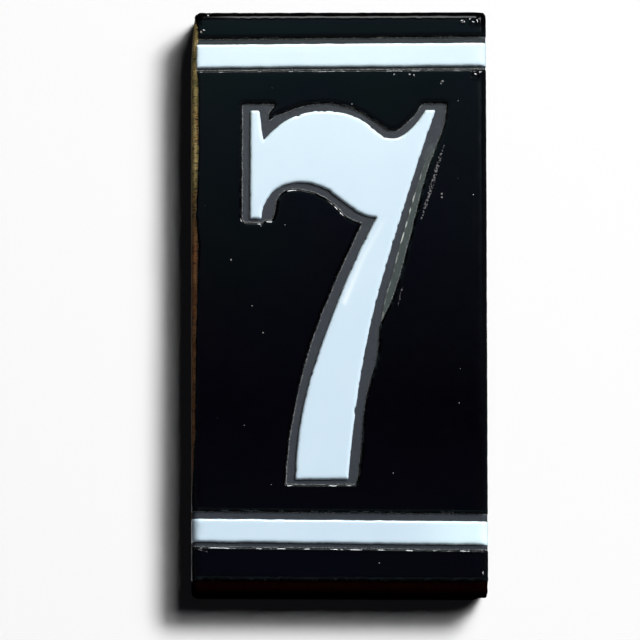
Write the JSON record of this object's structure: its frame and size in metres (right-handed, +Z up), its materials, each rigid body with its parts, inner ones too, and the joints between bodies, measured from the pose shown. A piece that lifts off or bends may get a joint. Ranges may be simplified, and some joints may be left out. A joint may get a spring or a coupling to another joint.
{
  "type": "house number tile",
  "caption": "Upright glazed ceramic house number tile: a white seven with a dry matt outline on black, between two white bands, on a red clay body with a flat ribbed back.",
  "frame": {"origin": "middle of the flat back face, which is fixed to the wall", "axes": "+Z up along the tile's height, +X to the right of a person reading the number, -Y out of the face towards that person, +Y into the wall"},
  "size_m": [0.075, 0.011, 0.15],
  "materials": {
    "glazed_tile": "gloss glaze in black, with a white numeral and bands, matt grey dry lines and bare red clay at the edges and back"
  },
  "bodies": {
    "root": {"number_tile": "glazed_tile"}
  },
  "joints": []
}
